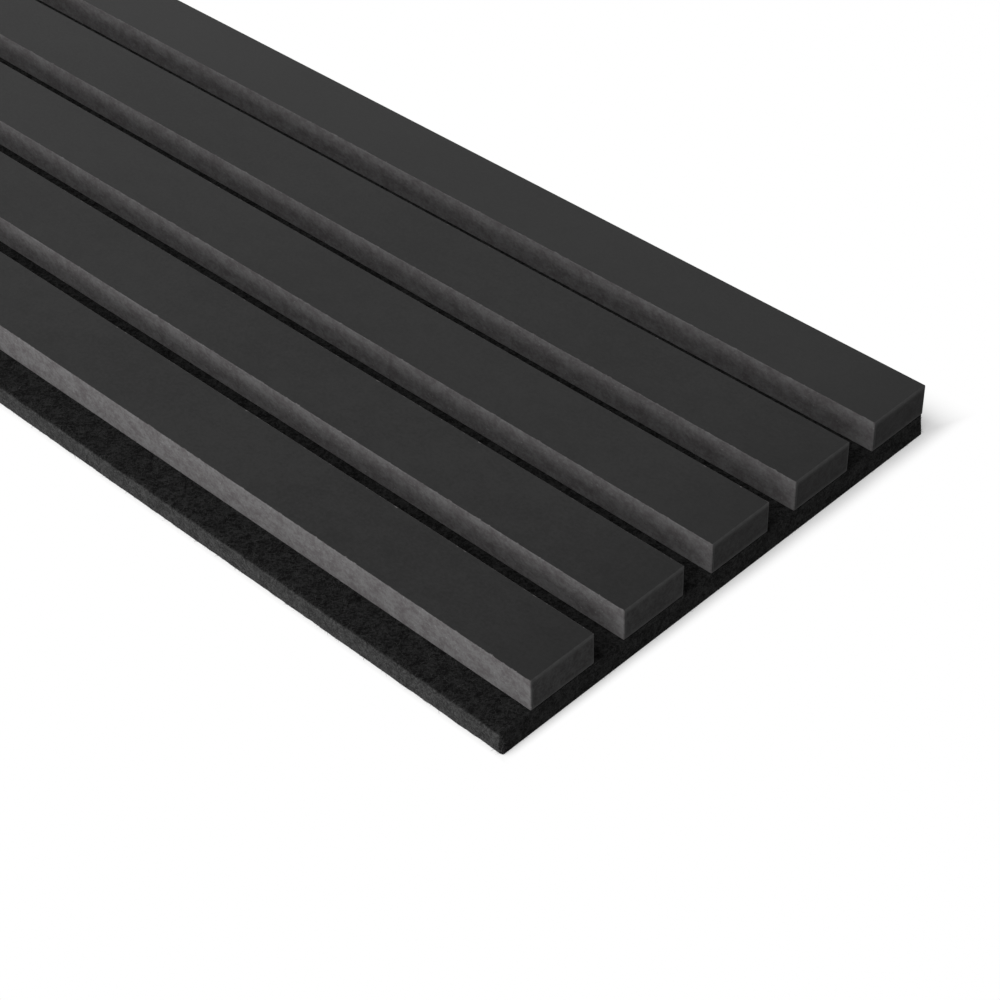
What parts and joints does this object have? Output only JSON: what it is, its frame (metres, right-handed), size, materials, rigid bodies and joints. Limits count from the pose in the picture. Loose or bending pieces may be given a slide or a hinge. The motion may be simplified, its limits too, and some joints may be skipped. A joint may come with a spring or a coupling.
{
  "type": "acoustic slat wall panel",
  "caption": "Long wall panel of dark fibreboard slats glued at even gaps on a dark felt sheet, which leaves a free lip along one long edge; it lines a wall and damps echo.",
  "frame": {"origin": "centre of the felt's back face, on the surface that the panel lies on or is fixed to", "axes": "+X across the slats from the free lip to the flush edge, +Y along the slats, +Z out of the slat face"},
  "size_m": [0.2, 2.4, 0.02],
  "materials": {
    "felt": "black needle-punched polyester felt, fibrous and matte, with fuzzy cut edges",
    "slat_board": "charcoal dyed-through fibreboard, smooth matte face, fibrous grey sawn sides, paler broken edges"
  },
  "bodies": {
    "root": {"felt_backing": "felt", "slat_1": "slat_board", "slat_2": "slat_board", "slat_3": "slat_board", "slat_4": "slat_board", "slat_5": "slat_board"}
  },
  "joints": []
}
